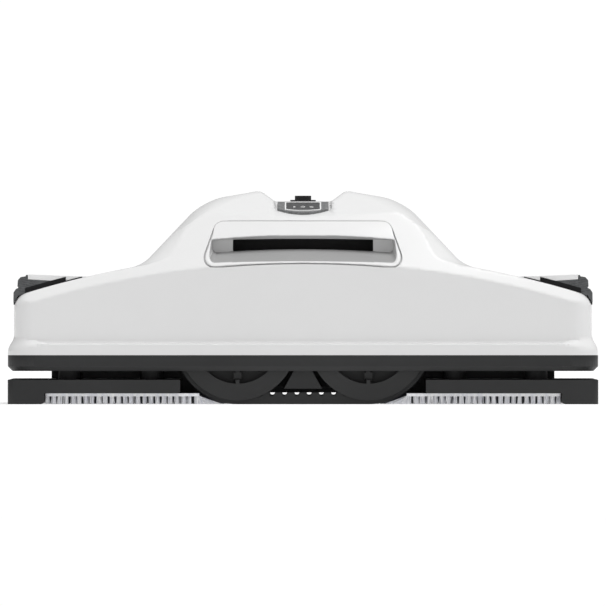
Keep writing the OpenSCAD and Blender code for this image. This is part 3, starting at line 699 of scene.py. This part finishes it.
def build_brush(end):
    """A backing with rows of tufts: full and in line along both sides, thinner and loose between."""
    inner, outer = BRUSH[0][0], BRUSH[1][0]
    reach = BRUSH[1][1]
    top = BRUSH[1][2]
    outline = [(inner, -STEP_Y), (STEP_X, -STEP_Y), (STEP_X, -reach), (outer, -reach), (outer, reach),
               (STEP_X, reach), (STEP_X, STEP_Y), (inner, STEP_Y)]
    shapes = [prism(rounded(outline, 2), top - 2.2, top, 2)]
    roots, tips = [], []
    for y in np.arange(-reach + 2.6, reach - 1, ROW_PITCH):
        from_side = min(reach - y, reach + y)
        dense = 18 if from_side < 12 else 8
        beside_track = abs(y) > STEP_Y - 1
        start = STEP_X + 2.1 - (0 if beside_track else 6 * TUFT_PITCH)
        shift = 0 if from_side < 16 else RNG.uniform(-1.2, 1.2)
        for x in np.arange(start + shift, outer - 1.2, TUFT_PITCH):
            spread = RNG.normal(0, 1, (dense, 4)) * (0.7, 1.1, 0.42, 0.6)
            root = np.column_stack([x + spread[:, 0], y + spread[:, 1], np.full(dense, top - 1.6)])
            tip = np.column_stack([root[:, 0] + spread[:, 2], root[:, 1] + spread[:, 3],
                                   RNG.uniform(0.05, 0.7, dense)])
            roots.append(root)
            tips.append(tip)
        if beside_track:
            # the innermost tufts fan out under the belt
            count = 56
            fan = np.linspace(0, 1, count) + RNG.uniform(-0.015, 0.015, count)
            roots.append(np.column_stack([STEP_X + 1.1 + 0.8 * RNG.uniform(-1, 1, count),
                                          y + RNG.normal(0, 1.2, count), np.full(count, top - 1.7)]))
            tips.append(np.column_stack([STEP_X + 1.5 - 17.5 * fan, y + RNG.normal(0, 1.4, count),
                                         RNG.uniform(0.1, 0.6, count)]))
    roots, tips = np.concatenate(roots), np.concatenate(tips)
    roots[:, 0] = np.clip(roots[:, 0], inner + 0.8, outer - 0.8)
    tips[:, 0] = np.clip(tips[:, 0], inner, outer - 0.4)
    for set_of in (roots, tips):
        set_of[:, 1] = np.clip(set_of[:, 1], -reach + 0.7, reach - 0.7)
    shapes.append(filaments(roots, tips, 0.45))
    shape = joined(*shapes)
    made = dress(solid("brush_tufts_" + end, shape if end == "front" else mirrored(shape)),
                 end + "_pad", "bristles", ["brush_field_" + end], angle=50)
    # the tufts in the middle, behind the light rows along the sides, take a near-black copy of the bristle
    # colour: painted shade
    made.data.materials.append(MATERIALS["painted_shade_bristles"])
    centres = np.array([face.center for face in made.data.polygons]) / MM
    shaded_middle = (np.abs(centres[:, 1]) < reach - 17.5) & (centres[:, 2] < top - 1)
    made.data.polygons.foreach_set("material_index", shaded_middle.astype(int))


for end in ("front", "rear"):
    build_brush(end)

# ---------------------------------------------------------------- track belts


def build_belt(side):
    """One closed loop: lugs across the tread, and rounded windows between the teeth inside."""
    lo, hi = span("track_belt_" + side)
    outer_r, thick, pitch = AXLE_Z, 5.8, 9.2
    straight, turn = 2 * AXLE_X, math.pi * outer_r

    def rise(u, count):
        """How far the inside stands in at u along a straight run with this many windows."""
        half = (count - 1) / 2
        nearest = min(max(round(u / pitch + half), 0), count - 1) - half
        away = abs(u - nearest * pitch)
        if abs(u) > half * pitch:
            return float(np.interp(away, [1.7, 2.5], [2.8, 0]))
        return float(np.interp(4.6 - away, [0, 0.7, 1.3, 1.7, 1.9, 2.05], [0, 0.05, 0.4, 1.0, 1.7, 2.8]))

    lugs, steps = 53, 20
    loops = []
    for k in range(lugs * steps):
        s = 2 * (straight + turn) * k / (lugs * steps)
        sign = 1 if s < straight + turn else -1
        s %= straight + turn
        if s < straight:
            x, z, nx, nz = s - AXLE_X, -outer_r, 0.0, -1.0
            tooth = rise(x, 7 if sign > 0 else 6)
        else:
            a = (s - straight) / outer_r - math.pi / 2
            nx, nz = math.cos(a), math.sin(a)
            x, z, tooth = AXLE_X + outer_r * nx, outer_r * nz, 0.0
        x, z, nx, nz = sign * x, AXLE_Z + sign * z, sign * nx, sign * nz
        cut = 1.6 * float(smooth_step(abs(k % steps / steps - 0.5), 0.3, 0.34))
        section = []
        for y, depth in ((lo[1], 0.35), (lo[1] + 0.35, 0), (lo[1] + 3, 0), (lo[1] + 3.8, cut),
                         (hi[1] - 3.8, cut), (hi[1] - 3, 0), (hi[1] - 0.35, 0), (hi[1], 0.35),
                         (hi[1], thick + tooth), (lo[1], thick + tooth)):
            section.append((x - nx * depth, y, z - nz * depth))
        loops.append(section)
    dress(solid("belt_loop_" + side, rings(loops, True)), "chassis", "track_rubber",
          ["track_belt_" + side], angle=40)


for side in ("right", "left"):
    build_belt(side)

# ---------------------------------------------------------------- control panel


def plate(x, t, r, h, bow=0.0):
    """A plate on the ramp: half width, reach up the ramp, top corners, heights and bow of its foot."""
    foot = [(u, t[0] + bow * (u / x) ** 2) for u in np.linspace(-x, x, 25)]
    outline = rounded([(-x, t[1])] + foot + [(x, t[1])], [r] + [0.6] + [0] * 23 + [0.6] + [r])
    return moved(prism(outline, *h, 2), RAMP)


def build_panel():
    """The bezel, the trim ring, the button and the symbols on it."""
    low, high = BUTTON_T
    bezel = solid("panel_bezel_plate", plate(18.9, (0.8, 28.2), 0.8, (0, 1.6), 9.5))
    carve(bezel, solid("opening", plate(13.7, (low - 1.9, high + 1.9), 1, (-1, 3), 3)))
    dress(bezel, "chassis", "charcoal_plastic", ["panel_bezel"], bevel=0.3, material="panel_grey")
    trim = solid("panel_trim_ring", plate(13.5, (low - 1.7, high + 1.7), 0.8, (0, 2.2), 3))
    carve(trim, solid("opening", plate(12.4, (low - 0.3, high + 0.3), 0.4, (-1, 4), 2.6)))
    dress(trim, "chassis", "white_trim", ["panel_trim"], bevel=0.3)
    button = solid("power_button_cap", plate(12.1, (low, high), 0.4, (-2, 2.4), 2.5))
    carve(button, solid("stem", moved(drum(3, -6, -1.5, 32), RAMP @ at(0, 14.5))), operation="UNION")
    carve(button, solid("groove", plate(11, (high - 1.6, high - 1.1), 0.1, (2.2, 3))))
    dress(button, "button", "charcoal_plastic", ["power_button"], bevel=0.3, material="button_grey")
    # raised symbols: a ring with a bar, a triangle and three waves
    ring = turned([(1.1, 2.3), (1.6, 2.3), (1.6, 2.5), (1.1, 2.5)], 32)
    middle = RAMP @ at(0, 12)
    marks = [moved(ring, middle), moved(block((-0.2, 0.2), (0.4, 2.4), (2.3, 2.54)), middle),
             moved(prism([(-0.9, -1.4), (1.2, 0), (-0.9, 1.4)], 2.3, 2.5, 2), RAMP @ at(-6.2, 12))]
    for k in range(3):
        wave = [(-1.3 + 0.33 * i, 1.1 * (k - 1) + 0.35 * math.sin(1.6 * i)) for i in range(9)]
        outline = wave + [(x, y - 0.4) for x, y in reversed(wave)]
        marks.append(moved(prism(outline, 2.3, 2.5, 2), RAMP @ at(6.2, 12)))
    dress(solid("button_symbols", joined(*marks)), "button", "white_trim")


build_panel()

# ---------------------------------------------------------------- CAD pieces that stay

SLOT_NODES = {
    "black_plastic": ["handle_pocket", "chassis_tub", "track_frames", "intake_ducts", "pump_ducts",
                      "socket_base", "cable_swivel"],
    "charcoal_plastic": ["skirt_band", "belt_guides", "outlet_grilles", "pad_plate_front",
                         "pad_plate_rear"],
    "wheel_plastic": ["drive_sprocket_right", "drive_sprocket_left", "idler_sprocket_right",
                      "idler_sprocket_left"],
    "steel": ["idler_axles", "idler_clips", "gearboxes", "lid_hinge_pins", "flap_pins", "shell_screws",
              "drive_shaft_right", "drive_shaft_left", "pad_clips_front", "pad_clips_rear"],
    "bronze": ["shaft_bushes"],
    "motor_case": ["drive_motors", "pump_motors"],
    "grey_plastic": ["power_box", "power_box_cover", "inlet_flap_front", "inlet_flap_rear"],
    "seal_rubber": ["lid_gaskets", "box_seal", "pad_bellows_front", "pad_bellows_rear"],
    "filter_plastic": ["filter_basket_front", "filter_basket_rear"],
    "filter_mesh": ["filter_screens"],
    "battery_wrap": ["battery_pack"],
    "circuit_board": ["control_board"],
    "impeller_plastic": ["impeller_front", "impeller_rear"],
    "foam": ["foam_floats"],
}
for material, names in SLOT_NODES.items():
    for name in names:
        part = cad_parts[name]
        part.data.materials.clear()
        part.data.materials.append(MATERIALS[material])
        if not part.hide_render:
            merge = part.modifiers.new("merge", "WELD")
            merge.merge_threshold = 0.002 * MM
            soften(part, 0.35)

# ---------------------------------------------------------------- studio


def studio():
    """A pale glowing floor, a bright sky low down, a broad lamp with a small one for gloss, a camera."""
    floor_material = bpy.data.materials.new("floor")
    floor_material.use_nodes = True
    surface = floor_material.node_tree.nodes["Principled BSDF"]
    surface.inputs["Base Color"].default_value = (0.5, 0.5, 0.5, 1)
    surface.inputs["Roughness"].default_value = 0.9
    surface.inputs["Emission Color"].default_value = (1, 1, 1, 1)
    surface.inputs["Emission Strength"].default_value = 0.53
    # wide enough to reach past the picture's top in low views, and just under the brushes' tips
    far, level = 10000, -0.1
    corners = [(-far, -far, level), (far, -far, level), (far, far, level), (-far, far, level)]
    floor = solid("floor", (corners, [(0, 1, 2, 3)]))
    floor.data.materials.append(floor_material)

    world = bpy.data.worlds.new("studio")
    bpy.context.scene.world = world
    world.use_nodes = True
    tree = world.node_tree
    sky = tree.nodes["Background"]
    sky.inputs["Color"].default_value = (1, 1, 1, 1)
    place = node(tree, "TexCoord")
    split = node(tree, "SeparateXYZ")
    height = node(tree, "Math", operation="ABSOLUTE")
    band = node(tree, "MapRange", From_Min=0.03, From_Max=0.08, To_Min=1.02, To_Max=0.42)
    tree.links.new(place.outputs["Generated"], split.inputs["Vector"])
    tree.links.new(split.outputs["Z"], height.inputs[0])
    tree.links.new(height.outputs["Value"], band.inputs["Value"])
    tree.links.new(band.outputs["Result"], sky.inputs["Strength"])

    def lamp(name, kind, place, energy):
        light = bpy.data.lights.new(name, kind)
        light.energy = energy
        made = bpy.data.objects.new(name, light)
        bpy.context.scene.collection.objects.link(made)
        made.location = place
        made.rotation_mode = "QUATERNION"
        made.rotation_quaternion = Vector(place).to_track_quat("Z", "Y")
        return light, made

    ceiling, holder = lamp("ceiling", "SUN", (0.2, -0.14, 0.95), 2.2)
    ceiling.angle = 0.5
    holder.visible_glossy = False
    strip = lamp("strip", "AREA", (0.45, 0.12, 2.1), 3.0)[0]
    strip.shape, strip.size = "DISK", 0.5

    # square on from the near side, far enough away to show no perspective
    camera = bpy.data.cameras.new("camera")
    camera.lens, camera.sensor_width = 1500, 36
    view = bpy.data.objects.new("camera", camera)
    bpy.context.scene.collection.objects.link(view)
    bpy.context.scene.camera = view
    width = 0.4484
    distance = width * camera.lens / camera.sensor_width
    view.location = (0, -distance - 0.15, 0.0747)
    view.rotation_euler = (math.radians(90), 0, 0)
    camera.clip_start, camera.clip_end = 1, 100
    bpy.context.scene.view_settings.view_transform = "Standard"


studio()
